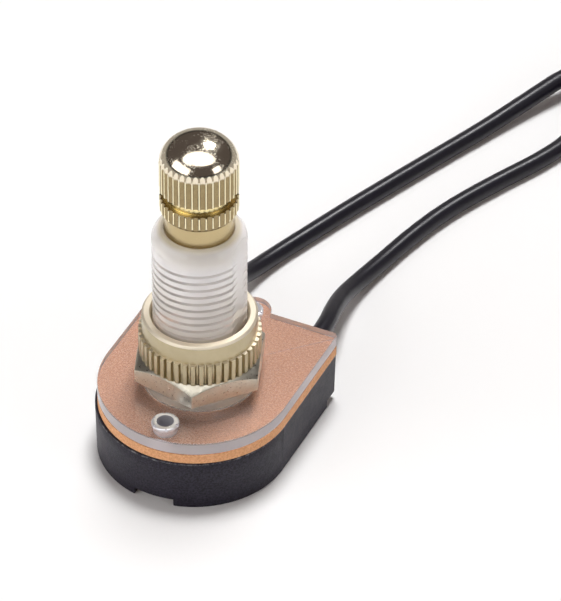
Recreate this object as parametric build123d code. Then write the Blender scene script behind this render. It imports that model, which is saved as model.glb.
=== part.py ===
from build123d import *
import os
from math import cos, pi, radians, sin, tan

# A single-pole rotary switch for a lamp canopy, in millimetres. The stem's axis is the Z axis,
# the part rests on its base at Z = 0, and its two leads leave towards +Y.

# Plan outline shared by the cup, the gasket and the cover plate
outline_r = 10.8          # front arc and half the width
front_y = -11.92          # foremost point of the front arc
back_y = 12.7             # straight back edge
corner_r = 0.5            # back corners
ear_r = 2.15              # round ear behind the back rivet
ear_y = 12.5
rivet_x = 0.35            # the rivets and the ear lie right of the stem's axis
front_rivet_y = -9.3
back_rivet_y = 11.8

# Moulded cup
cup_h = 6.47
cup_proud = 0.1           # the cup's outline outside the plate's
cup_shift = 0.2           # the cup sits this far to the left under its cover
cup_draft = 1.0           # degrees
cup_floor = 1.9           # height of the floor of the mechanism's well
well_wall = 3.9           # from the outline's side to the mechanism's well
bay_w = 2.9               # terminal bays, one each side of the well
bay_wall = 2.3            # from the outline's side to a bay
bay_end_y = 10.8
relief_h = 0.9            # undercut that clears the rivets' lower flanges
front_relief_w = 4.6
front_relief_l = 4.7
back_relief_l = 2.0

# Gasket and clear cover
gasket_t = 1.22
gasket_hole_r = 3.1
plate_t = 1.56
boss_r = 6.5
boss_h = 1.5
stem_r = 5.145
stem_l = 19.13            # above the boss
stem_flat = 4.8           # the two unthreaded sides, from the axis
shoulder_r = 4.15         # the stem's rim, where its rounded shoulder ends
shoulder_h = 1.9

# Nuts on the stem
nut_clearance = 0.03      # radial
hex_across = 13.49
hex_t = 2.41
hex_turn = -10.6          # degrees, the corner nearest the +X axis
hex_chamfer = 35.0        # degrees
hex_face_inset = 0.15     # the flat top's edge inside the hexagon's flats
knurl_r = 6.72
knurl_root_r = 6.36
knurl_t = 2.64
knurl_teeth = 46
collar_r = 6.34
collar_t = 2.33
collar_mouth_r = 5.5
collar_mouth_t = 0.6
collar_edge = 0.25
knurl_tip_share = 0.5     # of the pitch
knurl_root_share = 0.2

# Knob
neck_r = 3.74
neck_show = 2.3           # neck seen between the stem and the knob's ring
neck_clearance = 0.06
neck_in_stem = 2.5
neck_foot_gap = 0.2       # below the neck, in the stem's bore
knob_r = 4.26
knob_ring_h = 2.0
knob_ring_chamfer = 0.5
knob_ring_edge = 0.1      # the ring's underside inside the flutes' roots
knob_groove_h = 1.1
knob_groove_r = 3.6
knob_side_h = 3.3
knob_dome_h = 3.2
flute_count = 36
flute_depth = 0.22
flute_land = 0.14         # flat left between two flutes
flute_root_share = 0.1    # of the pitch
flute_reach = 0.01        # the flutes' tips outside the knob's side

# Spindle and what turns with it
spindle_r = 1.2
spindle_clearance = 0.05
spindle_in_knob = 6.5
square_side = 1.8
square_clearance = 0.05
spindle_foot = 0.1        # from the rotor's underside up to the spindle's end
rotor_gap = 0.1           # between the rotor and the well's floor
rotor_r = 3.8
rotor_h = 1.85
rotor_hub_r = 2.6
rotor_hub_h = 0.8
index_notch_depth = 0.4
index_notch_r = 1.6
bridge_t = 0.4
bridge_w = 2.4
bridge_well_gap = 1.65    # between the bridge's ends and the well's side
bridge_tab_h = 0.9
clip_t = 0.5
clip_r = 2.3
clip_groove_r = 0.9
clip_drop = 1.09          # from the cover plate's underside to the clip's underside
clip_mouth = 1.4
washer_t = 0.4
washer_r = 2.6
washer_bore_clearance = 0.05
spring_wire_r = 0.15
spring_r = 1.75
spring_turns = 2.0

# Fixed contacts
contact_gap = 0.1         # between a contact's face and the bridge's end
contact_head_r = 0.9
contact_head_t = 0.65
contact_face_share = 0.6  # flat middle of the head, of its radius
contact_edge_share = 0.5  # bevelled depth of the head, of its thickness
contact_shank_r = 0.45
contact_tail = 0.15
contact_drop = 0.35       # from the bridge's underside to the contacts' axis
blade_t = 0.4
blade_floor_gap = 0.4
blade_rise = 0.1          # the blade's top edge above its barrel's axis
blade_land = 0.75         # its least height over the contacts' axis
blade_front_y = -1.6
blade_back_y = 8.4
barrel_t = 0.35
barrel_y = (7.6, 9.9)
core_clearance = 0.05
core_past_barrel = 0.2
index_leaf_t = 0.3
index_leaf_h = 1.7
index_leaf_y = 5.2        # outer face of the leaf, in front of the axis
index_gap = 0.05          # between the leaf's crown and the rotor's rim
index_lift = 0.05         # from the rotor's underside up to the leaf
index_crown_r = 1.5
leaf_end_gap = 0.05

# Eyelet rivets
eyelet_r = 1.25
eyelet_bore_r = 0.95
eyelet_clearance = 0.05
eyelet_head_r = 1.55
eyelet_head_t = 0.5
eyelet_foot_r = 1.75
eyelet_foot_t = 0.35
eyelet_foot_clearance = 0.2
eyelet_splits = 6
eyelet_split_w = 0.22

# Leads
lead_side = 3.8           # from the outline's side to a lead's axis
barrel_roof_gap = 0.32    # between a terminal's barrel and the gasket
lead_d = 2.1
lead_slot_clearance = 0.05
lead_in_cup = 2.3         # insulation inside the back wall
core_r = 0.55
tip_l = 12.0              # bare end
tip_r = 0.5

# Heights worked out from the sizes above
gasket_z = cup_h
plate_z = gasket_z + gasket_t
boss_z = plate_z + plate_t
hex_z = boss_z + boss_h
knurl_z = hex_z + hex_t
collar_z = knurl_z + knurl_t
stem_top = hex_z + stem_l
ring_low = stem_top + neck_show
ring_top = ring_low + knob_ring_h
side_low = ring_top + knob_groove_h
dome_low = side_low + knob_side_h
knob_top = dome_low + knob_dome_h
neck_low = stem_top - neck_in_stem
rotor_z = cup_floor + rotor_gap
hub_z = rotor_z + rotor_h
bridge_z = hub_z + rotor_hub_h
clip_z = plate_z - clip_drop
contact_z = bridge_z - contact_drop

# Places worked out from the outline
well_r = outline_r - well_wall
bay_out_x = outline_r - bay_wall
bay_in_x = bay_out_x - bay_w
bridge_r = well_r - bridge_well_gap
blade_x = bridge_r + contact_gap + contact_head_t
lead_x = outline_r - lead_side
lead_z = cup_h - barrel_roof_gap - barrel_t - core_clearance - core_r
blade_low_z = cup_floor + blade_floor_gap
blade_top_z = max(lead_z + blade_rise, contact_z + blade_land)
index_z = rotor_z + index_lift


def d_outline(r, shift_x=0.0):
    """The D-shaped plan with its ear, as a face in the XY plane."""
    centre_y = front_y + outline_r
    inset = outline_r - r
    rear = back_y - inset
    plan = Pos(0, centre_y) * Circle(r)
    plan += Pos(0, (centre_y + rear) / 2) * Rectangle(2 * r, rear - centre_y)
    corners = plan.vertices().filter_by(lambda v: v.Y > rear - 0.01)
    plan = fillet(corners, corner_r)
    plan = Pos(shift_x, 0) * plan
    return plan + Pos(rivet_x, ear_y) * Circle(ear_r - inset)


def upright(r, low, high, x=0.0, y=0.0):
    """A cylinder about a vertical axis between two heights."""
    return Pos(x, y, low) * Cylinder(r, high - low, align=(Align.CENTER, Align.CENTER, Align.MIN))


def block(x0, x1, y0, y1, z0, z1):
    """A box between two corners."""
    return Pos((x0 + x1) / 2, (y0 + y1) / 2, (z0 + z1) / 2) * Box(x1 - x0, y1 - y0, z1 - z0)


def along_y(r, x, z, y0, y1):
    """A cylinder that lies along Y."""
    return Pos(x, (y0 + y1) / 2, z) * Rot(90, 0, 0) * Cylinder(r, y1 - y0)


def rivet_holes(low, high):
    hole_r = eyelet_r + eyelet_clearance
    return [upright(hole_r, low, high, rivet_x, y) for y in (front_rivet_y, back_rivet_y)]


def housing_cup():
    rim = Pos(0, 0, cup_h) * d_outline(outline_r + cup_proud, -cup_shift)
    cup = extrude(rim, amount=-cup_h, dir=(0, 0, 1), taper=cup_draft)
    cup -= upright(well_r, cup_floor, cup_h + 1)
    slot_r = lead_d / 2 + lead_slot_clearance
    for side in (-1, 1):
        x_low, x_high = sorted((side * bay_in_x, side * bay_out_x))
        cup -= block(x_low, x_high, 0, bay_end_y, cup_floor, cup_h + 1)
        x = side * lead_x
        cup -= along_y(slot_r, x, lead_z, bay_end_y - 1, back_y + 1)
        cup -= block(x - slot_r, x + slot_r, bay_end_y - 1, back_y + 1, lead_z, cup_h + 1)
    for hole in rivet_holes(-1, cup_h + 1):
        cup -= hole
    half = front_relief_w / 2
    cup -= block(-half, half, front_y - 1, front_y + front_relief_l, -1, relief_h)
    wide = outline_r + 1
    cup -= block(-wide, wide, back_y - back_relief_l, back_y + ear_r + 1, -1, relief_h)
    cup -= upright(eyelet_foot_r + eyelet_foot_clearance, -1, relief_h, rivet_x, back_rivet_y)
    return cup


def insulating_gasket():
    sheet = extrude(Pos(0, 0, gasket_z) * d_outline(outline_r), amount=gasket_t)
    sheet -= upright(gasket_hole_r, gasket_z - 1, plate_z + 1)
    for hole in rivet_holes(gasket_z - 1, plate_z + 1):
        sheet -= hole
    return sheet


def stem_profile():
    """Half section of the boss and the threaded stem."""
    shoulder_z = stem_top - shoulder_h
    line = Polyline((0, boss_z), (boss_r, boss_z), (boss_r, hex_z), (stem_r, hex_z), (stem_r, shoulder_z))
    ease = sin(radians(45))
    middle = (
        shoulder_r + (stem_r - shoulder_r) * ease,
        shoulder_z + shoulder_h * ease,
    )
    arc = ThreePointArc((stem_r, shoulder_z), middle, (shoulder_r, stem_top))
    close = Polyline((shoulder_r, stem_top), (0, stem_top), (0, boss_z))
    return make_face(Plane.XZ * (Curve() + [line, arc, close]))


def cover_and_stem():
    cover = extrude(Pos(0, 0, plate_z) * d_outline(outline_r), amount=plate_t)
    cover += revolve(stem_profile(), axis=Axis.Z)
    for side in (-1, 1):
        x_low, x_high = sorted((side * stem_flat, side * (stem_r + 1)))
        cover -= block(x_low, x_high, -stem_r, stem_r, hex_z, stem_top + 1)
    cover -= upright(spindle_r + spindle_clearance, plate_z - 1, stem_top + 1)
    cover -= upright(neck_r + neck_clearance, neck_low - neck_foot_gap, stem_top + 1)
    for hole in rivet_holes(plate_z - 1, boss_z + 1):
        cover -= hole
    return cover


def hex_nut():
    bore = stem_r + nut_clearance
    corner = hex_across / 2 / cos(radians(30))
    plan = Rot(0, 0, hex_turn) * RegularPolygon(corner, 6)
    nut = extrude(Pos(0, 0, hex_z) * plan, amount=hex_t)
    flat_r = hex_across / 2 - hex_face_inset
    drop = (corner - flat_r) * tan(radians(hex_chamfer))
    cone = Polyline(
        (0, hex_z),
        (corner, hex_z),
        (corner, knurl_z - drop),
        (flat_r, knurl_z),
        (0, knurl_z),
        (0, hex_z),
    )
    nut &= revolve(make_face(Plane.XZ * cone), axis=Axis.Z)
    return nut - upright(bore, hex_z - 1, knurl_z + 1)


def tooth_ring(count, tip_r, root_r, tip_share, root_share):
    """Plan of a straight knurl: a closed line of tip and root flats."""
    points = []
    pitch = 2 * pi / count
    for i in range(count):
        middle = i * pitch
        for r, place in (
            (tip_r, -tip_share / 2),
            (tip_r, tip_share / 2),
            (root_r, 0.5 - root_share / 2),
            (root_r, 0.5 + root_share / 2),
        ):
            angle = middle + place * pitch
            points.append((r * cos(angle), r * sin(angle)))
    return make_face(Polyline(*points, close=True))


def ring_nut():
    bore = stem_r + nut_clearance
    top = collar_z + collar_t
    teeth = tooth_ring(knurl_teeth, knurl_r, knurl_root_r, knurl_tip_share, knurl_root_share)
    knurl = extrude(Pos(0, 0, knurl_z) * teeth, amount=knurl_t)
    collar = Polyline(
        (0, collar_z),
        (collar_r, collar_z),
        (collar_r, top - collar_edge),
        (collar_r - collar_edge, top),
        (collar_mouth_r, top),
        (bore, top - collar_mouth_t),
        (0, top - collar_mouth_t),
        (0, collar_z),
    )
    nut = knurl + revolve(make_face(Plane.XZ * collar), axis=Axis.Z)
    return nut - upright(bore, knurl_z - 1, top + 1)


def eyelet(y):
    """One tubular rivet, rolled over the cover plate and under the cup."""
    top = boss_z + eyelet_head_t
    low = relief_h - eyelet_foot_t
    roll = eyelet_head_t / 2
    tube = upright(eyelet_r, low, boss_z + roll, rivet_x, y)
    tube += upright(eyelet_foot_r, low, relief_h, rivet_x, y)
    head = upright(eyelet_head_r, boss_z, top, rivet_x, y)
    head = fillet(head.edges().filter_by(GeomType.CIRCLE).group_by(Axis.Z)[-1], roll)
    for i in range(eyelet_splits):
        split = Rot(0, 0, i * 360 / eyelet_splits) * Pos(eyelet_head_r, 0, top) * Box(
            2 * (eyelet_head_r - eyelet_r), eyelet_split_w, 2 * roll
        )
        head -= Pos(rivet_x, y, 0) * split
    return tube + head - upright(eyelet_bore_r, low - 1, top + 1, rivet_x, y)


def knob():
    neck = upright(neck_r, neck_low, ring_low + knob_ring_chamfer)
    edge = knob_r - flute_depth - knob_ring_edge
    side = Polyline(
        (0, ring_low),
        (edge, ring_low),
        (knob_r, ring_low + knob_ring_chamfer),
        (knob_r, ring_top),
        (knob_groove_r, ring_top),
        (knob_groove_r, side_low),
        (knob_r, side_low),
        (knob_r, dome_low),
    )
    dome = EllipticalCenterArc((0, dome_low), knob_r, knob_dome_h, start_angle=0, arc_size=90)
    close = Line((0, knob_top), (0, ring_low))
    body = revolve(make_face(Plane.XZ * (Curve() + [side, dome, close])), axis=Axis.Z)
    pitch = 2 * pi * knob_r / flute_count
    tip_r = knob_r + flute_reach
    flutes = tooth_ring(flute_count, tip_r, knob_r - flute_depth, flute_land / pitch, flute_root_share)
    body &= extrude(Pos(0, 0, ring_low) * flutes, amount=knob_top - ring_low)
    return body + neck - upright(spindle_r, neck_low - 1, neck_low + spindle_in_knob)


def spindle():
    low = rotor_z + spindle_foot
    rod = upright(spindle_r, bridge_z + bridge_t, neck_low + spindle_in_knob)
    half = square_side / 2
    rod += block(-half, half, -half, half, low, bridge_z + bridge_t) & upright(spindle_r, low, plate_z)
    groove = upright(spindle_r + 1, clip_z, clip_z + clip_t)
    return rod - (groove - upright(clip_groove_r, clip_z - 1, clip_z + clip_t + 1))


def retaining_clip():
    ring = upright(clip_r, clip_z, clip_z + clip_t) - upright(clip_groove_r, clip_z - 1, clip_z + clip_t + 1)
    mouth = clip_mouth / 2
    return ring - block(-mouth, mouth, -clip_r - 1, 0, clip_z - 1, clip_z + clip_t + 1)


def thrust_washer():
    low = clip_z + clip_t
    bore = spindle_r + washer_bore_clearance
    return upright(washer_r, low, low + washer_t) - upright(bore, low - 1, low + washer_t + 1)


def square_hole(low, high):
    half = square_side / 2 + square_clearance
    return block(-half, half, -half, half, low, high)


def rotor():
    disc = upright(rotor_r, rotor_z, hub_z)
    reach = rotor_r - index_notch_depth + index_notch_r
    for i in range(4):
        angle = radians(90 * i - 90)
        disc -= upright(index_notch_r, rotor_z - 1, hub_z + 1, reach * cos(angle), reach * sin(angle))
    disc += upright(rotor_hub_r, hub_z, bridge_z)
    return disc - square_hole(rotor_z - 1, bridge_z + 1)


def contact_bridge():
    """The strip that joins both contacts, with its ends turned down to face them."""
    half = bridge_w / 2
    top = bridge_z + bridge_t
    strip = block(-bridge_r, bridge_r, -half, half, bridge_z, top)
    for side in (-1, 1):
        x_low, x_high = sorted((side * (bridge_r - bridge_t), side * bridge_r))
        strip += block(x_low, x_high, -half, half, bridge_z - bridge_tab_h, top)
    strip &= upright(bridge_r, bridge_z - bridge_tab_h, top)
    return strip - square_hole(bridge_z - 1, top + 1)


def rotor_spring():
    """A short coil spring between the bridge and the retaining clip."""
    low = bridge_z + bridge_t + spring_wire_r
    height = clip_z - spring_wire_r - low
    path = Pos(0, 0, low) * Helix(height / spring_turns, height, spring_r)
    section = Plane(origin=path @ 0, z_dir=path % 0) * Circle(spring_wire_r)
    return sweep(section, path=path, is_frenet=True)


def terminal(side):
    """A contact blade with the barrel that holds its lead's conductor."""
    x_low, x_high = sorted((side * blade_x, side * (blade_x + blade_t)))
    blade = block(x_low, x_high, blade_front_y, blade_back_y, blade_low_z, blade_top_z)
    bore = core_r + core_clearance
    x = side * lead_x
    blade += along_y(bore + barrel_t, x, lead_z, *barrel_y)
    blade -= along_y(bore, x, lead_z, barrel_y[0] - 1, barrel_y[1] + 1)
    hole = Pos(side * blade_x, 0, contact_z) * Rot(0, 90, 0) * Cylinder(contact_shank_r, 4 * blade_t)
    return blade - hole


def contact_point(side):
    """A domed contact with its shank riveted through the blade."""
    face = bridge_r + contact_gap
    shank_end = face + contact_head_t + blade_t + contact_tail
    half = Polyline(
        (0, 0),
        (contact_head_r * contact_face_share, 0),
        (contact_head_r, contact_head_t * contact_edge_share),
        (contact_head_r, contact_head_t),
        (contact_shank_r, contact_head_t),
        (contact_shank_r, shank_end - face),
        (0, shank_end - face),
        (0, 0),
    )
    turned = revolve(make_face(Plane.XZ * half), axis=Axis.Z)
    return Pos(side * face, 0, contact_z) * Rot(0, 90 * side, 0) * turned


def index_spring():
    """A leaf across the well, whose crown faces the rotor's notches."""
    middle_z = index_z + index_leaf_h / 2
    crown_y = -(rotor_r + index_gap + index_crown_r)
    outer = index_leaf_y
    reach = (well_r**2 - outer**2) ** 0.5 - leaf_end_gap
    leaf = block(-reach, reach, -outer, -outer + index_leaf_t, index_z, index_z + index_leaf_h)
    crown = Pos(0, crown_y, middle_z) * Cylinder(index_crown_r, index_leaf_h)
    hollow = Pos(0, crown_y, middle_z) * Cylinder(index_crown_r - index_leaf_t, 2 * index_leaf_h)
    keep = block(-well_r, well_r, -outer, 0, 0, cup_h)
    return (leaf + crown - hollow) & keep


# The leads' routes run from inside the back wall, down to the surface that the part stands on
# and on to a loop behind it. The left lead's loop lies on the right lead's.
loop_gap = 0.05           # between the two loops
bend_share = 0.45         # of the shorter run beside a corner, taken by its arc
floor_z = lead_d / 2
upper_z = floor_z + lead_d + loop_gap
loop_x = 28.5
loop_y = 76.5
loop_r = 12.35
loop_step = 30.0          # degrees between points of a loop
left_first = 146.0        # where each loop begins, from the +X axis
right_first = 180.0
left_steps = 11
right_steps = 13
loop_shrink = lead_d + 0.2  # per turn, so that a lead clears itself

left_route = [
    (-lead_x, back_y - lead_in_cup, lead_z),
    (-lead_x, 14.3, lead_z),
    (-lead_x - 0.15, 18.6, lead_z - 0.6),
    (-7.1, 22.8, 3.0),
    (-6.7, 26.6, 1.6),
    (-5.7, 31.2, floor_z),
    (-3.7, 36.8, floor_z),
    (-1.5, 43.0, floor_z),
    (1.1, 49.8, floor_z),
    (3.7, 56.5, floor_z),
    (6.6, 63.6, floor_z + 0.1),
    (9.4, 70.4, floor_z + 0.7),
    (12.5, 77.1, floor_z + 1.7),
]
right_route = [
    (lead_x, back_y - lead_in_cup, lead_z),
    (lead_x, 14.3, lead_z),
    (lead_x - 0.25, 18.6, lead_z - 0.4),
    (5.9, 22.4, 3.9),
    (5.2, 26.2, 2.6),
    (5.2, 30.4, 1.5),
    (6.0, 35.6, floor_z),
    (7.2, 41.6, floor_z),
    (9.0, 48.0, floor_z),
    (12.1, 55.1, floor_z),
    (15.3, 61.6, floor_z),
    (16.9, 66.6, floor_z),
    (16.7, 71.4, floor_z),
]


def loop_radius(turned):
    """A loop closes in as it turns, so that its strands lie side by side."""
    return loop_r - loop_shrink * turned / 360


def loop_point(angle, turned, z):
    """A point of a clockwise loop."""
    r = loop_radius(turned)
    return (loop_x + r * cos(radians(angle)), loop_y + r * sin(radians(angle)), z)


def loop_points(first, steps, z):
    return [loop_point(first - loop_step * i, loop_step * i, z) for i in range(steps + 1)]


left_route += loop_points(left_first, left_steps, upper_z)
right_route += loop_points(right_first, right_steps, floor_z)


def corner_radii(points):
    """As large an arc at each corner as its two runs allow."""
    radii = []
    for before, here, after in zip(points, points[1:], points[2:]):
        first = Vector(*here) - Vector(*before)
        second = Vector(*after) - Vector(*here)
        half_turn = radians(first.get_angle(second)) / 2
        radii.append(bend_share * min(first.length, second.length) / tan(half_turn))
    return radii


def lead(name, points):
    """An insulated lead: straight runs joined by tangent arcs."""
    radii = corner_radii(points)
    path = FilletPolyline(*points, radius=radii)
    section = Plane(origin=path @ 0, z_dir=path % 0) * Circle(lead_d / 2)
    tube = sweep(section, path=path)
    share = tube.volume / (pi * lead_d**2 / 4 * path.length)
    print(name, "length", round(path.length, 1), "least radius", round(min(radii), 2))
    print(name, "radii", [round(r, 1) for r in radii], "volume share", round(share, 4))
    return tube


def lead_tip(first, steps, z):
    """The bare twisted end, which follows on round the loop."""
    turned = steps * loop_step
    whole = tip_l / loop_radius(turned) * 180 / pi
    on_arc = [loop_point(first - turned - whole * share, turned, z) for share in (0, 0.5, 1)]
    path = ThreePointArc(*on_arc)
    return sweep(Plane(origin=path @ 0, z_dir=path % 0) * Circle(tip_r), path=path)


def lead_core(side):
    """The bare inner end, held in its terminal's barrel."""
    return along_y(core_r, side * lead_x, lead_z, barrel_y[0] - core_past_barrel, back_y - lead_in_cup)


nodes = {
    "housing_cup": housing_cup(),
    "insulating_gasket": insulating_gasket(),
    "cover_and_stem": cover_and_stem(),
    "eyelet_rivets": Compound([eyelet(front_rivet_y), eyelet(back_rivet_y)]),
    "hex_nut": hex_nut(),
    "ring_nut": ring_nut(),
    "knob": knob(),
    "spindle": spindle(),
    "retaining_clip": retaining_clip(),
    "thrust_washer": thrust_washer(),
    "rotor_spring": rotor_spring(),
    "rotor": rotor(),
    "contact_bridge": contact_bridge(),
    "index_spring": index_spring(),
    "left_terminal": terminal(-1),
    "right_terminal": terminal(1),
    "contact_points": Compound([contact_point(-1), contact_point(1)]),
    "left_lead": lead("left lead", left_route),
    "right_lead": lead("right lead", right_route),
    "lead_cores": Compound([lead_core(-1), lead_core(1)]),
    "left_lead_tip": lead_tip(left_first, left_steps, upper_z),
    "right_lead_tip": lead_tip(right_first, right_steps, floor_z),
}

os.makedirs("parts", exist_ok=True)
for name, shape in nodes.items():
    export_step(shape, f"parts/{name}.step")
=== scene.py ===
import bpy
from functools import cached_property
from math import cos, pi, radians, sin
from mathutils import Matrix, Vector


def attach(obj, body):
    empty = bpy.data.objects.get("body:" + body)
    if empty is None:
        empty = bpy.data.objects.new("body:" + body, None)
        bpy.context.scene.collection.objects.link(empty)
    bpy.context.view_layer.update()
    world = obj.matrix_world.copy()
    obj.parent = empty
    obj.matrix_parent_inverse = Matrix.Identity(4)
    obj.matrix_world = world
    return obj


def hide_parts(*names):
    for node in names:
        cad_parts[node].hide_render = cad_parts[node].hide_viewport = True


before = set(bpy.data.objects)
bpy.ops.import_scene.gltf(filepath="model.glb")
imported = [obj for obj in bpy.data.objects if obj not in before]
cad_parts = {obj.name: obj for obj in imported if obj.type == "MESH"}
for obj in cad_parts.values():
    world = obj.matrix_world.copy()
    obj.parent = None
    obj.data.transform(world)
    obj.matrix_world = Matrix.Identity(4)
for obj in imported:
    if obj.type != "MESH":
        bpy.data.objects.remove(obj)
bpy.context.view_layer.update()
mm = 0.001
bodyName = "switch_body"
print("frame loaded")


# Helpers that select, shape and finish a piece
def clearSelection():
    if bpy.context.object and bpy.context.object.mode != "OBJECT":
        bpy.ops.object.mode_set(mode="OBJECT")
    bpy.ops.object.select_all(action="DESELECT")


def activate(piece):
    clearSelection()
    piece.select_set(True)
    bpy.context.view_layer.objects.active = piece


def joinPieces(pieces):
    activate(pieces[0])
    for piece in pieces:
        piece.select_set(True)
    bpy.ops.object.join()
    return bpy.context.object


def bakePlace(piece):
    # the piece's place, turn and scale go into its mesh
    activate(piece)
    bpy.ops.object.transform_apply(location=True, rotation=True, scale=True)


def applyModifier(piece, kind, **settings):
    activate(piece)
    modifier = piece.modifiers.new(kind.lower(), kind)
    for key, value in settings.items():
        setattr(modifier, key, value)
    bpy.ops.object.modifier_apply(modifier=modifier.name)


def easeEdges(piece, width, angle):
    # rounds the edges that turn by more than the angle, by a width in millimetres
    applyModifier(piece, "BEVEL", width=width * mm, segments=2, limit_method="ANGLE",
                  angle_limit=radians(angle), harden_normals=False)


def subtract(piece, cutter):
    applyModifier(piece, "BOOLEAN", operation="DIFFERENCE", object=cutter, solver="EXACT")
    bpy.data.objects.remove(cutter)


def smoothByAngle(piece, degrees):
    activate(piece)
    bpy.ops.object.shade_smooth_by_angle(angle=radians(degrees))


def pick(piece, kind, chosen):
    # selects the faces or vertices that pass a test, and leaves the piece in edit mode
    activate(piece)
    bpy.ops.object.mode_set(mode="EDIT")
    bpy.ops.mesh.select_mode(type=kind)
    bpy.ops.mesh.select_all(action="DESELECT")
    bpy.ops.object.mode_set(mode="OBJECT")
    for part in piece.data.polygons if kind == "FACE" else piece.data.vertices:
        part.select = chosen(part)
    bpy.ops.object.mode_set(mode="EDIT")


def smoothCadShape(piece):
    # large faces stay flat, and the narrow ones beside them lean to them
    def isLargeFlat(face):
        return face.area > 5.0 * mm * mm and (abs(face.normal.z) > 0.999 or len(face.vertices) > 4)

    smoothByAngle(piece, 35)
    pick(piece, "FACE", isLargeFlat)
    bpy.ops.mesh.faces_shade_flat()
    bpy.ops.object.mode_set(mode="OBJECT")
    applyModifier(piece, "WEIGHTED_NORMAL", keep_sharp=True, weight=50)


def lift(piece, low, high, rise):
    # moves the vertices between two heights, in millimetres
    pick(piece, "VERT", lambda vertex: low * mm < vertex.co.z < high * mm)
    bpy.ops.transform.translate(value=(0, 0, rise * mm))
    bpy.ops.object.mode_set(mode="OBJECT")


def copyOfNode(node):
    # a merged copy of a CAD node, ready for bevels and booleans
    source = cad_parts[node]
    piece = source.copy()
    piece.data = source.data.copy()
    piece.parent = None
    piece.matrix_world = Matrix.Identity(4)
    for key in list(piece.keys()):
        del piece[key]
    bpy.context.scene.collection.objects.link(piece)
    activate(piece)
    piece.data.attributes.active = None
    if piece.data.has_custom_normals:
        bpy.ops.mesh.customdata_custom_splitnormals_clear()
    bpy.ops.object.mode_set(mode="EDIT")
    bpy.ops.mesh.select_all(action="SELECT")
    bpy.ops.mesh.remove_doubles(threshold=2e-6)
    bpy.ops.mesh.dissolve_limited(angle_limit=radians(0.1))
    bpy.ops.object.mode_set(mode="OBJECT")
    return piece


def drawLine(points):
    # a line through points of (radius, height) in millimetres, left selected in edit mode
    clearSelection()
    bpy.ops.mesh.primitive_plane_add(size=mm, location=(0, 0, 0))
    bpy.ops.object.mode_set(mode="EDIT")
    bpy.ops.mesh.select_mode(type="VERT")
    bpy.ops.mesh.select_all(action="SELECT")
    bpy.ops.mesh.merge(type="CENTER")
    bpy.ops.mesh.select_all(action="SELECT")
    r, z = points[0]
    bpy.ops.transform.translate(value=(r * mm, 0, z * mm))
    for (r0, z0), (r1, z1) in zip(points, points[1:]):
        step = ((r1 - r0) * mm, 0, (z1 - z0) * mm)
        bpy.ops.mesh.extrude_vertices_move(TRANSFORM_OT_translate={"value": step})
    bpy.ops.mesh.select_all(action="SELECT")
    return bpy.context.object


def settle(piece, name, body, material, node):
    # ties a finished piece to its body, and hides the CAD node that it stands for
    bakePlace(piece)
    piece.name = name
    piece.data.materials.clear()
    piece.data.materials.append(material)
    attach(piece, body)
    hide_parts(node)
    return piece


# A Wire is one output socket, and arithmetic on it adds Math nodes
class Wire:
    def __init__(self, sheet, socket):
        self.sheet = sheet
        self.socket = socket

    def output(self, name):
        # another output of the same node
        return Wire(self.sheet, self.socket.node.outputs[name])

    def maths(self, operation, *values):
        return self.sheet.add("ShaderNodeMath", {"operation": operation}, dict(enumerate(values)))

    def __add__(self, other):
        return self.maths("ADD", self, other)

    def __radd__(self, other):
        return self.maths("ADD", other, self)

    def __sub__(self, other):
        return self.maths("SUBTRACT", self, other)

    def __rsub__(self, other):
        return self.maths("SUBTRACT", other, self)

    def __mul__(self, other):
        return self.maths("MULTIPLY", self, other)

    def __rmul__(self, other):
        return self.maths("MULTIPLY", other, self)

    def __truediv__(self, other):
        return self.maths("DIVIDE", self, other)

    def __pow__(self, other):
        return self.maths("POWER", self, other)

    def absolute(self):
        return self.maths("ABSOLUTE", self)

    def clamp(self):
        return self.maths("MINIMUM", self.maths("MAXIMUM", self, 0.0), 1.0)

    def above(self, start, steepness):
        # a mask that grows from 0 to 1 past the start
        return ((self - start) * steepness).clamp()

    def below(self, end, steepness):
        # a mask that falls from 1 to 0 up to the end
        return ((end - self) * steepness).clamp()


class NodeSheet:
    # the nodes of one material or world, all added in the same way
    def __init__(self, owner):
        owner.use_nodes = True
        self.tree = owner.node_tree

    def connect(self, value, socket):
        if isinstance(value, Wire):
            self.tree.links.new(value.socket, socket)
        else:
            socket.default_value = value

    def add(self, kind, settings=None, sockets=None, output=0):
        step = self.tree.nodes.new(kind)
        for key, value in (settings or {}).items():
            setattr(step, key, value)
        for key, value in (sockets or {}).items():
            self.connect(value, step.inputs[key])
        return Wire(self, step.outputs[output])

    def blend(self, factor, low, high):
        low, high = (tone if isinstance(tone, Wire) else (*tone, 1) for tone in (low, high))
        return self.add("ShaderNodeMix", {"data_type": "RGBA"}, {0: factor, 6: low, 7: high}, output=2)


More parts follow.
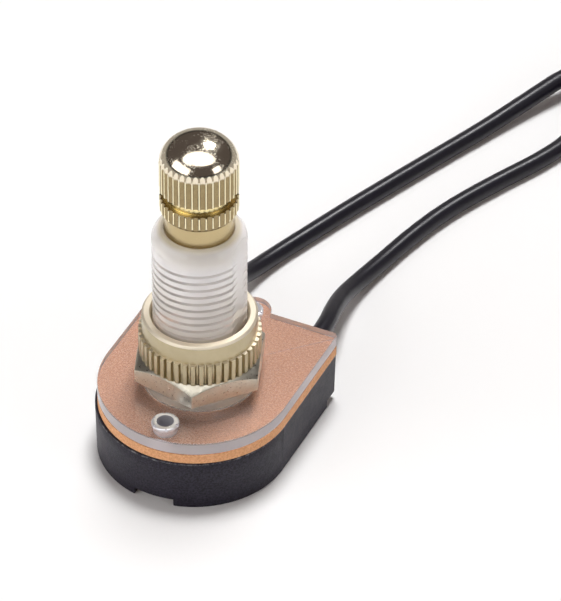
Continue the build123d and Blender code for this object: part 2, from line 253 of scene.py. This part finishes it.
class Finish(NodeSheet):
    # one material, the places that its masks are made from, and its shader
    def __init__(self, name, fixed):
        self.material = bpy.data.materials.new(name)
        super().__init__(self.material)
        self.shader = self.tree.nodes["Principled BSDF"]
        for key, value in fixed.items():
            self.feed(key, value)
        self.surface = Wire(self, self.shader.outputs[0])

    @cached_property
    def place(self):
        return self.add("ShaderNodeTexCoord", output="Object")

    @cached_property
    def across(self):
        return self.add("ShaderNodeSeparateXYZ", sockets={0: self.place}, output="X")

    @cached_property
    def height(self):
        return self.across.output("Z") / mm

    @cached_property
    def radius(self):
        # from the stem's axis, in millimetres
        along = self.across.output("Y")
        return (self.across * self.across + along * along) ** 0.5 / mm

    @cached_property
    def facingUp(self):
        normal = self.add("ShaderNodeNewGeometry", output="Normal")
        return self.add("ShaderNodeSeparateXYZ", sockets={0: normal}, output="Z")

    @cached_property
    def onTop(self):
        return (self.facingUp * 2.2 - 0.4).clamp()

    def noise(self, scale, detail=3.0, stretch=(1, 1, 1)):
        where = self.add("ShaderNodeMapping", sockets={"Vector": self.place, "Scale": stretch})
        return self.add("ShaderNodeTexNoise", sockets={
            "Vector": where, "Scale": scale, "Detail": detail, "Roughness": 0.55})

    def turningLines(self):
        # they run round the axis, so they change with height only
        return self.noise(9000.0, detail=2.0, stretch=(0.02, 0.02, 1))

    def feed(self, socketName, value):
        self.connect(value, self.shader.inputs[socketName])

    def bump(self, height, strength, distance):
        self.feed("Normal", self.add("ShaderNodeBump", sockets={
            "Height": height, "Strength": strength, "Distance": distance}))

    def over(self, share, shader):
        # lays another shader over what is there
        self.surface = self.add("ShaderNodeMixShader", sockets={0: share, 1: self.surface, 2: shader})
        self.connect(self.surface, self.tree.nodes["Material Output"].inputs["Surface"])

    def passLight(self, share):
        # what lies under clear plastic is lit straight through it
        through = self.add("ShaderNodeBsdfTransparent", sockets={"Color": (1, 1, 1, 1)})
        ray = self.add("ShaderNodeLightPath", output="Is Shadow Ray")
        self.over((ray + ray.output("Is Diffuse Ray")).clamp() * share, through)


# Camera at the photograph's viewpoint: angles in degrees, place and lens in millimetres
viewpoint = {"azimuth": 24.92, "elevation": 39.57, "roll": 0.52, "lens": 269.55,
             "place": (165.859, -336.285, 329.455)}


def makeCamera(look):
    azimuth, elevation, roll = (radians(look[key]) for key in ("azimuth", "elevation", "roll"))
    back = Vector((sin(azimuth) * cos(elevation), -cos(azimuth) * cos(elevation), sin(elevation)))
    level = Vector((cos(azimuth), sin(azimuth), 0))
    upright = back.cross(level)
    right = cos(roll) * level + sin(roll) * upright
    up = -sin(roll) * level + cos(roll) * upright
    lensData = bpy.data.cameras.new("viewCamera")
    lensData.lens = look["lens"]
    lensData.clip_start = 0.01
    camera = bpy.data.objects.new("viewCamera", lensData)
    bpy.context.scene.collection.objects.link(camera)
    turn = Matrix((right, up, back)).transposed().to_4x4()
    camera.matrix_world = Matrix.Translation(Vector(look["place"]) * mm) @ turn
    bpy.context.scene.camera = camera


makeCamera(viewpoint)
print("camera placed")


# Leads, each laid along a route and then round a coil, with a bare tip of twisted strands
leadWire = {
    "diameter": 2.1, "exitX": 7.0, "exitY": 12.7, "exitZ": 5.2, "floorZ": 1.05, "upperZ": 3.2,
    "loopX": 28.5, "loopY": 76.5, "loopR": 12.35, "loopStep": 30.0, "loopShrink": 2.3,
    "tipLength": 12.0, "strandR": 0.17, "strandCount": 7, "strandTurns": 3.0,
}
floorZ = leadWire["floorZ"]
leftLead = {
    "route": [(-7.0, 10.4, 5.2), (-7.0, 14.3, 5.2), (-7.15, 18.6, 4.6), (-7.1, 22.8, 3.0), (-6.7, 26.6, 1.6),
              (-5.7, 31.2, floorZ), (-3.7, 36.8, floorZ), (-1.5, 43.0, floorZ), (1.1, 49.8, floorZ),
              (3.7, 56.5, floorZ), (6.6, 63.6, floorZ + 0.1), (9.4, 70.4, floorZ + 0.7),
              (12.5, 77.1, floorZ + 1.7)],
    "first": 146.0, "steps": 11, "z": leadWire["upperZ"], "side": -1,
}
rightLead = {
    "route": [(7.0, 10.4, 5.2), (7.0, 14.3, 5.2), (6.75, 18.6, 4.8), (5.9, 22.4, 3.9), (5.2, 26.2, 2.6),
              (5.2, 30.4, 1.5), (6.0, 35.6, floorZ), (7.2, 41.6, floorZ), (9.0, 48.0, floorZ),
              (12.1, 55.1, floorZ), (15.3, 61.6, floorZ), (16.9, 66.6, floorZ), (16.7, 71.4, floorZ)],
    "first": 180.0, "steps": 13, "z": floorZ, "side": 1,
}


def leadMaterial():
    m = Finish("leadInsulation", {"Specular IOR Level": 0.36})
    m.feed("Roughness", 0.27 + m.noise(900.0) * 0.14)
    m.feed("Base Color", m.blend(m.noise(260.0), (0.003, 0.002, 0.006), (0.008, 0.006, 0.014)))
    m.bump(m.noise(1500.0, detail=2.0), 0.25, 0.00004)
    return m.material


def strandMaterial():
    m = Finish("tinnedStrands", {"Metallic": 1.0})
    m.feed("Roughness", 0.24 + m.noise(2200.0) * 0.2)
    m.feed("Base Color", m.blend(m.noise(1400.0), (0.62, 0.56, 0.50), (0.80, 0.78, 0.75)))
    return m.material


insulation = leadMaterial()
strands = strandMaterial()


def coilRadius(turned):
    # the coil closes in a little as it turns
    return leadWire["loopR"] - leadWire["loopShrink"] * turned / 360


def coilPoint(lead, turned, r):
    angle = radians(lead["first"] - turned)
    return (leadWire["loopX"] + r * cos(angle), leadWire["loopY"] + r * sin(angle), lead["z"])


def tubeAlong(name, points, radius, kind="NURBS", resolution=8, roundness=6):
    curve = bpy.data.curves.new(name, "CURVE")
    curve.dimensions = "3D"
    curve.bevel_depth = radius * mm
    curve.bevel_resolution = roundness
    curve.resolution_u = resolution
    curve.use_fill_caps = True
    spline = curve.splines.new(kind)
    spline.points.add(len(points) - 1)
    for point, place in zip(spline.points, points):
        point.co = (*(Vector(place) * mm), 1)
    if kind == "NURBS":
        spline.order_u = 3
        spline.use_endpoint_u = True
    piece = bpy.data.objects.new(name, curve)
    bpy.context.scene.collection.objects.link(piece)
    return piece


def centreline(points):
    # reads back the smooth line that a route's spline draws
    line = tubeAlong("line", points, 0, resolution=12)
    drawn = bpy.data.meshes.new_from_object(line)
    places = [vertex.co / mm for vertex in drawn.vertices]
    bpy.data.objects.remove(line)
    bpy.data.meshes.remove(drawn)
    return places


def strandPoints(places, start):
    # winds a line round the tip's middle line, or follows it where there is no start
    w = leadWire
    offset = 0 if start is None else w["strandR"] * 1.92
    upward = Vector((0, 0, 1))
    points = []
    for n, place in enumerate(places):
        along = (places[min(n + 1, len(places) - 1)] - places[max(n - 1, 0)]).normalized()
        twist = 2 * pi * ((start or 0) + n / len(places) * w["strandTurns"])
        points.append(place + offset * (cos(twist) * along.cross(upward) + sin(twist) * upward))
    return points


def makeTip(name, lead, before, end, node):
    # twisted strands that go on round the coil past the end of the insulation
    w = leadWire
    turned = lead["steps"] * w["loopStep"]
    ringR = coilRadius(turned)
    sweep = w["tipLength"] / ringR * 180 / pi
    onward = [coilPoint(lead, turned + sweep * share, ringR) for share in (0.35, 0.7, 1.0)]
    places = centreline([Vector(end).lerp(Vector(before), 0.2), end] + onward)
    twists = []
    for i in range(w["strandCount"]):
        start = i / (w["strandCount"] - 1) if i else None      # the first strand is the core
        strand = tubeAlong(f"{name}{i}", strandPoints(places, start), w["strandR"], kind="POLY", roundness=2)
        activate(strand)
        bpy.ops.object.convert(target="MESH")
        twists.append(bpy.context.object)
    tip = joinPieces(twists)
    smoothByAngle(tip, 60)
    return settle(tip, name, bodyName, strands, node)


def makeLead(name, lead, node, tipNode):
    w = leadWire
    angles = [w["loopStep"] * i for i in range(lead["steps"] + 1)]
    coil = [coilPoint(lead, turned, coilRadius(turned)) for turned in angles]
    cord = tubeAlong(name, lead["route"] + coil, w["diameter"] / 2)
    cord.data.materials.append(insulation)
    tip = makeTip(name + "Tip", lead, coil[-2], coil[-1], tipNode)
    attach(cord, bodyName)
    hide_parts(node)
    lead["side"] * w["exitX"] * mm
    w["exitY"] * mm
    w["exitZ"] * mm
    w["diameter"] * mm


makeLead("leftLead", leftLead, "left_lead", "left_lead_tip")
makeLead("rightLead", rightLead, "right_lead", "right_lead_tip")
print("leads laid")


# Clear cover with its threaded stem
coverStem = {"r": 5.145, "pitch": 0.94, "grooveDepth": 0.33, "grooveWidth": 0.5, "mouth": 0.12,
             "lowZ": 11.1, "topZ": 27.9, "steps": 56, "edge": 0.14}


def coverMaterial():
    # the plate is clear, its edge is frosted, and the thick stem looks milky, with painted reflections of
    # brass on the stem
    m = Finish("clearMoulding", {"Transmission Weight": 0.92, "IOR": 1.49})
    m.feed("Roughness", 0.015 + m.noise(420.0) * 0.03)
    m.feed("Base Color", m.blend(m.noise(160.0, detail=2.0), (0.93, 0.92, 0.95), (0.99, 0.98, 1.0)))
    m.bump(m.noise(700.0, detail=2.0), 0.04, 0.00005)
    # painted reflection of the nuts and gasket: the stem's tone turns tan towards its bottom
    milkyAndReflectedTone = m.blend(m.height.above(9.0, 1 / 18), (0.82, 0.71, 0.56), (0.98, 0.96, 0.965))
    neckReflection = m.radius.below(4.7, 2.5) * m.height.above(26.5, 2)
    milkyAndReflectedTone = m.blend(neckReflection * 0.8, milkyAndReflectedTone, (0.80, 0.70, 0.46))      # painted reflection of the brass neck, near the top of the stem
    milky = m.add("ShaderNodeBsdfPrincipled", sockets={
        "Base Color": milkyAndReflectedTone, "Roughness": 0.1, "Transmission Weight": 0.3, "IOR": 1.49})
    milkyShare = 0.45 + m.height.above(10.5, 1 / 8) * 0.35
    m.over(m.height.above(9.25, 4) * milkyShare, milky)
    frosted = m.add("ShaderNodeBsdfPrincipled", sockets={
        "Base Color": (0.66, 0.60, 0.62, 1), "Roughness": 0.3, "Transmission Weight": 0.2, "IOR": 1.49})
    onEdge = m.facingUp.absolute().below(0.6, 2) * m.height.below(9.2, 6) * m.radius.above(7.5, 2)
    m.over(onEdge * 0.7, frosted)
    m.passLight(0.85)
    return m.material


def threadCutter(c):
    # a V-shaped groove wound round the stem, open a little past the stem's surface
    rootR, mouthR = c["r"] - c["grooveDepth"], c["r"] + c["mouth"]
    low, half = c["lowZ"], c["grooveWidth"] / 2
    cutter = drawLine([(rootR, low), (mouthR, low + half), (mouthR, low - half), (rootR, low)])
    bpy.ops.mesh.remove_doubles(threshold=1e-6)
    turns = int((c["topZ"] - c["lowZ"]) / c["pitch"])
    applyModifier(cutter, "SCREW", angle=2 * pi, screw_offset=c["pitch"] * mm, iterations=turns,
                  steps=c["steps"], render_steps=c["steps"], axis="Z", use_merge_vertices=False)
    bpy.ops.object.mode_set(mode="EDIT")
    bpy.ops.mesh.select_all(action="DESELECT")
    bpy.ops.mesh.select_mode(type="EDGE")
    bpy.ops.mesh.select_non_manifold(extend=False, use_boundary=True, use_wire=False, use_multi_face=False,
                                     use_non_contiguous=False, use_verts=False)
    bpy.ops.mesh.edge_face_add()      # closes both ends
    bpy.ops.mesh.select_all(action="SELECT")
    bpy.ops.mesh.normals_make_consistent(inside=False)
    bpy.ops.object.mode_set(mode="OBJECT")
    return cutter


def makeCover(c):
    cover = copyOfNode("cover_and_stem")
    easeEdges(cover, c["edge"], 50)
    subtract(cover, threadCutter(c))
    smoothCadShape(cover)
    settle(cover, "coverAndStem", bodyName, coverMaterial(), "cover_and_stem")


makeCover(coverStem)
print("cover and stem made")


# Metals: a tone between pale and deep, a roughness between two, and fine marks in the surface
metalFinishes = {
    "platedNut": {"pale": (0.74, 0.72, 0.63), "deep": (0.50, 0.44, 0.34), "roughness": (0.22, 0.42),
                  "grain": 2600.0, "speck": 0.04, "pits": 0.35, "paintedTopShade": 0.22},
    "tinPlate": {"pale": (0.98, 0.97, 1.0), "deep": (0.86, 0.85, 0.90), "roughness": (0.12, 0.32),
                 "grain": 1100.0, "speck": 0.7, "metallic": 0.65},
    "steelRod": {"pale": (0.70, 0.70, 0.71), "deep": (0.56, 0.56, 0.58), "roughness": (0.2, 0.35),
                 "lines": 0.2},
    "springSteel": {"pale": (0.52, 0.52, 0.54), "deep": (0.40, 0.40, 0.43), "roughness": (0.25, 0.4),
                    "speck": 0.1},
    "contactStrip": {"pale": (0.82, 0.66, 0.36), "deep": (0.70, 0.52, 0.25), "roughness": (0.22, 0.4),
                     "speck": 0.15},
    "silverPoint": {"pale": (0.92, 0.91, 0.89), "deep": (0.80, 0.79, 0.77), "roughness": (0.15, 0.3),
                    "speck": 0.1},
}


def metal(name, pale, deep, roughness, grain=1800.0, speck=0.0, lines=0.0, metallic=1.0, pits=0.0,
          paintedTopShade=0.0):
    m = Finish(name, {"Metallic": metallic})
    cloud = m.noise(grain)
    colour = m.blend(m.noise(grain * 0.25, detail=4.0), pale, deep)
    if pits:
        colour = m.blend(m.noise(3400.0, detail=2.0).above(0.6, 9) * pits, colour, (0.10, 0.08, 0.06))
    # painted shade: the top faces are darkened by this share
    if paintedTopShade:
        colour = m.blend(m.onTop * paintedTopShade, colour, (0.0, 0.0, 0.0))
    m.feed("Base Color", colour)
    low, high = roughness
    m.feed("Roughness", low + cloud.above(0.1875, 1.6) * (high - low))
    if lines:
        m.bump(m.turningLines(), lines, 0.00002)
    else:
        m.bump(cloud, speck, 0.00003)
    return m.material


metals = {name: metal(name, **look) for name, look in metalFinishes.items()}


# Knob, turned from bar and then fluted
knobShape = {
    "neckR": 3.74, "neckLow": 27.38, "ringLow": 32.18, "ringTop": 34.18, "sideLow": 35.28, "domeLow": 38.58,
    "domeHeight": 3.2, "domeRings": 22, "r": 4.26, "grooveR": 3.6, "boreR": 1.2, "boreTop": 33.88,
    "chamfer": 0.5, "fluteCount": 36, "fluteDepth": 0.22, "fluteWidth": 0.62, "fluteStart": 0.02,
    "cutterMiddle": 36.5, "cutterLength": 12, "edge": 0.08, "steps": 216,
}


def knobMaterial():
    # dome and lands are polished and the flutes' floors duller; the lands are painted pale as a painted
    # highlight and the floors painted dark as painted shade; groove and neck are yellower
    m = Finish("polishedBrass", {"Metallic": 1.0})
    grain = m.noise(1700.0, detail=4.0)
    onLand = m.radius.above(4.17, 14)
    onDome = m.height.above(38.6, 5)
    inGroove = m.radius.below(3.68, 12) * m.height.above(33, 4)
    tone = m.blend(grain, (0.26, 0.19, 0.095), (0.41, 0.325, 0.175))      # the flutes' floors, painted dark as painted shade
    # the lands painted pale: a painted highlight along each land
    tone = m.blend(onLand, tone, (0.95, 0.88, 0.62))
    tone = m.blend(m.radius.below(3.95, 8), tone, (0.54, 0.43, 0.235))      # the neck
    tone = m.blend(inGroove, tone, (1.0, 0.86, 0.46))
    m.feed("Base Color", m.blend(onDome, tone, (0.86, 0.78, 0.62)))
    scuffs = m.noise(6500.0, detail=1.0).above(0.46, 5) * m.noise(500.0).above(0.375, 4)      # in patches
    dull = (1 - onLand) * (1 - onDome)
    m.feed("Roughness", 0.07 + m.noise(2500.0) * 0.06 + dull * 0.16 + scuffs * onDome * 0.3)
    m.bump(grain + scuffs * 0.5, 0.1, 0.00003)
    return m.material


def knobProfile(k):
    edge, r, neckR, grooveR = k["edge"], k["r"], k["neckR"], k["grooveR"]
    bore = [(0, k["boreTop"]), (k["boreR"], k["boreTop"]), (k["boreR"], k["neckLow"])]
    neck = [(neckR - edge, k["neckLow"]), (neckR, k["neckLow"] + edge), (neckR, k["ringLow"] - edge / 2),
            (neckR + edge, k["ringLow"])]
    ring = [(r - 0.32, k["ringLow"]), (r, k["ringLow"] + k["chamfer"]), (r, k["ringTop"] - edge),
            (r - edge, k["ringTop"])]
    groove = [(grooveR, k["ringTop"]), (grooveR, k["sideLow"])]
    side = [(r - edge, k["sideLow"]), (r, k["sideLow"] + edge), (r, k["domeLow"] - 0.6), (r, k["domeLow"])]
    dome = []
    for i in range(1, k["domeRings"]):
        angle = pi / 2 * i / k["domeRings"]
        dome.append((r * cos(angle), k["domeLow"] + k["domeHeight"] * sin(angle)))
    return bore + neck + ring + groove + side + dome + [(0, k["domeLow"] + k["domeHeight"])]


def fluteCutter(k):
    # one rod, squeezed to the flute's depth and width, and its copies round the knob
    clearSelection()
    bpy.ops.mesh.primitive_cylinder_add(vertices=16, radius=0.5 * mm, depth=k["cutterLength"] * mm,
                                        location=(k["r"] * mm, 0, k["cutterMiddle"] * mm))
    rod = bpy.context.object
    rod.scale = (2 * k["fluteDepth"], k["fluteWidth"], 1)
    bakePlace(rod)
    rods = []
    for i in range(k["fluteCount"]):
        turned = rod.copy()
        turned.data = rod.data.copy()
        turned.rotation_euler.z = 2 * pi * i / k["fluteCount"] + k["fluteStart"]
        bpy.context.scene.collection.objects.link(turned)
        rods.append(turned)
    bpy.data.objects.remove(rod)
    return joinPieces(rods)


def makeKnob(k):
    knob = drawLine(knobProfile(k))
    bpy.ops.mesh.spin(steps=k["steps"], angle=2 * pi, center=(0, 0, 0), axis=(0, 0, 1), use_auto_merge=True)
    bpy.ops.mesh.select_all(action="SELECT")
    bpy.ops.mesh.remove_doubles(threshold=1e-6)
    bpy.ops.mesh.normals_make_consistent(inside=False)
    bpy.ops.object.mode_set(mode="OBJECT")
    subtract(knob, fluteCutter(k))
    smoothByAngle(knob, 22)
    settle(knob, "brassKnob", "knob_assembly", knobMaterial(), "knob")


makeKnob(knobShape)
print("knob turned and fluted")


# Pieces that keep their CAD shape with its sharp edges eased; edge in millimetres
def ringMaterial():
    # turning lines on the sides, and a softer face on top, painted paler as painted light on the top
    m = Finish("turnedBrass", {"Metallic": 1.0})
    side = m.blend(m.noise(450.0, detail=4.0), (0.56, 0.49, 0.33), (0.42, 0.35, 0.22))
    # painted light: the top faces are given a paler tone
    m.feed("Base Color", m.blend(m.onTop, side, (0.82, 0.74, 0.60)))
    m.feed("Roughness", 0.24 + m.noise(1800.0) * 0.16 + m.onTop * 0.2)
    m.bump(m.turningLines(), 0.35, 0.00002)
    return m.material


def cupMaterial():
    # fine grain, with the rim's edge rubbed pale in spots
    m = Finish("blackMoulding", {"Specular IOR Level": 0.3})
    grain = m.noise(4600.0)
    plain = m.blend(grain.above(1 / 3, 3), (0.003, 0.002, 0.007), (0.026, 0.021, 0.038))
    atRim = (m.height - 6.25).absolute().below(1 / 7, 7)
    rubbed = atRim * m.noise(1600.0, detail=4.0).above(0.46, 5)
    m.feed("Base Color", m.blend(rubbed * 0.8, plain, (0.30, 0.30, 0.31)))
    m.feed("Roughness", 0.38 + m.noise(900.0) * 0.2)
    m.bump(grain, 0.6, 0.00006)
    return m.material


def fibreMaterial():
    # flecked sheet; its top faces painted darker as painted shade under the clear plate, and its cut edges
    # paler, partly the cut fibre's own tone and partly painted light
    m = Finish("gasketFibre", {"Specular IOR Level": 0.15})
    grain = m.noise(4300.0)
    fleck = grain.above(0.375, 4)
    # the top faces' tone is painted shade under the clear plate
    sheet = m.blend(fleck, (0.34, 0.135, 0.045), (0.56, 0.255, 0.125))
    # the cut edges: paler fibre, and painted light
    paleCutAndPaintedLight = m.blend(fleck, (0.70, 0.33, 0.15), (0.86, 0.46, 0.24))
    m.feed("Base Color", m.blend(m.facingUp.absolute().above(0.25, 2), paleCutAndPaintedLight, sheet))
    m.feed("Roughness", 0.5 + m.noise(900.0) * 0.2)
    m.bump(grain, 0.3, 0.00005)
    return m.material


easedPieces = {
    "hex_nut": {"name": "hexNut", "body": "hex_nut", "material": metals["platedNut"],
                "slotName": "plated_nut", "edge": 0.09, "angle": 25},
    "ring_nut": {"name": "ringNut", "body": "ring_nut", "material": ringMaterial(),
                 "slotName": "turned_brass", "edge": 0.05, "angle": 40},
    "eyelet_rivets": {"name": "eyeletRivets", "body": bodyName, "material": metals["tinPlate"],
                      "slotName": "bright_tin", "edge": 0.05, "angle": 40},
    "housing_cup": {"name": "housingCup", "body": bodyName, "material": cupMaterial(),
                    "slotName": "cup_black", "edge": 0.16, "angle": 40},
    "insulating_gasket": {"name": "insulatingGasket", "body": bodyName, "material": fibreMaterial(),
                          "slotName": "fibre", "edge": 0.05, "angle": 40},
}


def makeEased(node, name, body, material, slotName, edge, angle):
    piece = copyOfNode(node)
    easeEdges(piece, edge, angle)
    smoothCadShape(piece)
    return settle(piece, name, body, material, node)


eased = {node: makeEased(node, **look) for node, look in easedPieces.items()}
lift(eased["housing_cup"], 6.4, 6.5, -0.07)             # a dark line under the gasket
lift(eased["insulating_gasket"], 7.6, 7.8, -0.03)       # a hair of air under the clear plate
print("nuts, rivets, cup and gasket finished")


# Inner works keep their CAD shape and get a finish
def rotorMaterial():
    m = Finish("rotorMoulding", {"Base Color": (0.10, 0.045, 0.022, 1)})
    m.feed("Roughness", 0.4 + m.noise(1800.0) * 0.25)
    return m.material


innerFinish = {
    "spindle": metals["steelRod"], "thrust_washer": metals["steelRod"],
    "retaining_clip": metals["springSteel"], "rotor_spring": metals["springSteel"],
    "index_spring": metals["springSteel"], "left_terminal": metals["contactStrip"],
    "right_terminal": metals["contactStrip"], "contact_bridge": metals["contactStrip"],
    "contact_points": metals["silverPoint"], "rotor": rotorMaterial(), "lead_cores": strands,
}
for node, material in innerFinish.items():
    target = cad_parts[node]
    if not target.material_slots:
        target.data.materials.append(material)
    for place in target.material_slots:
        place.material = material
print("inner works finished")


# Pale studio: floor and card in millimetres, lamps in metres and watts
studio = {"floorWidth": 6000, "floorTone": (0.94, 0.94, 0.94), "floorLift": (0.02, 0.014, 0.010),
          "whiteFrom": 90, "horizon": 0.75, "zenith": (0.09, 0.075, 0.072), "bandLow": 0.02, "bandHigh": 0.07,
          "cardR": 115, "cardHeight": 66, "cardDark": (0.02, 0.018, 0.016), "cardPale": (0.40, 0.38, 0.36),
          "cardPaleTop": 12}
# a lamp's direction is (right, away, up) as the camera sees it
softboxes = [
    {"name": "keyBox", "toward": (0.08, 0.26, 0.96), "distance": 1.2, "size": (0.46, 0.46),
     "power": 12.6, "shape": "ELLIPSE", "diffuse": True, "glossy": False},
    {"name": "backBox", "toward": (0.30, 0.50, 0.81), "distance": 0.60, "size": (0.16, 0.17),
     "power": 2.2, "shape": "ELLIPSE", "diffuse": False, "glossy": True},
    {"name": "overheadBox", "toward": (0.0, -0.22, 1.0), "distance": 0.60, "size": (0.90, 0.48),
     "power": 2.2, "shape": "ELLIPSE", "diffuse": False, "glossy": True},
    {"name": "leftBox", "toward": (-0.755, -0.485, 0.40), "distance": 0.60, "size": (0.58, 0.40),
     "power": 1.55, "shape": "RECTANGLE", "diffuse": True, "glossy": True},
    {"name": "rightBox", "toward": (0.77, -0.50, 0.36), "distance": 0.60, "size": (0.24, 0.30),
     "power": 0.45, "shape": "RECTANGLE", "diffuse": True, "glossy": True},
]


def makeFloor(s):
    # it turns plain white away from the switch, and keeps the shadow near it
    clearSelection()
    bpy.ops.mesh.primitive_plane_add(size=s["floorWidth"] * mm, location=(0, 0, 0))
    floor = bpy.context.object
    floor.name = "studioFloor"
    m = Finish("paleFloor", {"Base Color": (*s["floorTone"], 1), "Roughness": 0.9, "Specular IOR Level": 0.0})
    m.feed("Emission Color", m.blend(m.radius.above(s["whiteFrom"], 0.008), s["floorLift"], (1.0, 1.0, 1.0)))
    ray = m.add("ShaderNodeLightPath", output="Is Camera Ray")
    seen = ray + ray.output("Is Glossy Ray") + ray.output("Is Transmission Ray")
    m.feed("Emission Strength", seen.clamp())
    floor.data.materials.append(m.material)


def makeCard(s):
    # a card round the set, dark at its top, that only shiny surfaces see
    clearSelection()
    bpy.ops.mesh.primitive_cylinder_add(vertices=64, radius=s["cardR"] * mm, depth=s["cardHeight"] * mm,
                                        end_fill_type="NOTHING", location=(0, 0, s["cardHeight"] * mm / 2))
    card = bpy.context.object
    card.name = "darkCard"
    m = Finish("darkCard", {"Base Color": (*s["cardDark"], 1), "Roughness": 0.9, "Emission Strength": 1.0})
    m.feed("Emission Color", m.blend(m.height.above(s["cardPaleTop"], 0.1), s["cardPale"], (0, 0, 0)))
    card.data.materials.append(m.material)
    card.visible_camera = card.visible_diffuse = card.visible_shadow = card.visible_transmission = False


def makeWorld(s):
    # white to the camera, and to all else a pale band under a darker sky
    world = bpy.data.worlds.new("studioWorld")
    bpy.context.scene.world = world
    sky = NodeSheet(world)
    way = sky.add("ShaderNodeTexCoord", output="Generated")
    rise = sky.add("ShaderNodeSeparateXYZ", sockets={0: way}, output="Z")
    band = rise.above(s["bandLow"], 1 / (s["bandHigh"] - s["bandLow"]))
    tone = sky.blend(band, (s["horizon"],) * 3, s["zenith"])
    toCamera = sky.add("ShaderNodeLightPath", output="Is Camera Ray")
    sky.connect(sky.blend(toCamera, tone, (1, 1, 1)), sky.tree.nodes["Background"].inputs["Color"])


def makeSoftbox(box):
    light = bpy.data.lights.new(box["name"], "AREA")
    light.shape = box["shape"]
    light.size, light.size_y = box["size"]
    light.energy = box["power"]
    lamp = bpy.data.objects.new(box["name"], light)
    lamp.visible_diffuse = box["diffuse"]
    lamp.visible_glossy = box["glossy"]
    bpy.context.scene.collection.objects.link(lamp)
    side = radians(viewpoint["azimuth"])
    right, away, up = Vector(box["toward"]).normalized()
    toward = Vector((right * cos(side) - away * sin(side), right * sin(side) + away * cos(side), up))
    lamp.location = Vector((0, 0, 20 * mm)) + toward * box["distance"]
    lamp.rotation_euler = toward.to_track_quat("Z", "Y").to_euler()


makeFloor(studio)
makeCard(studio)
makeWorld(studio)
for box in softboxes:
    makeSoftbox(box)
bpy.context.scene.view_settings.view_transform = "Standard"
print("studio lit")
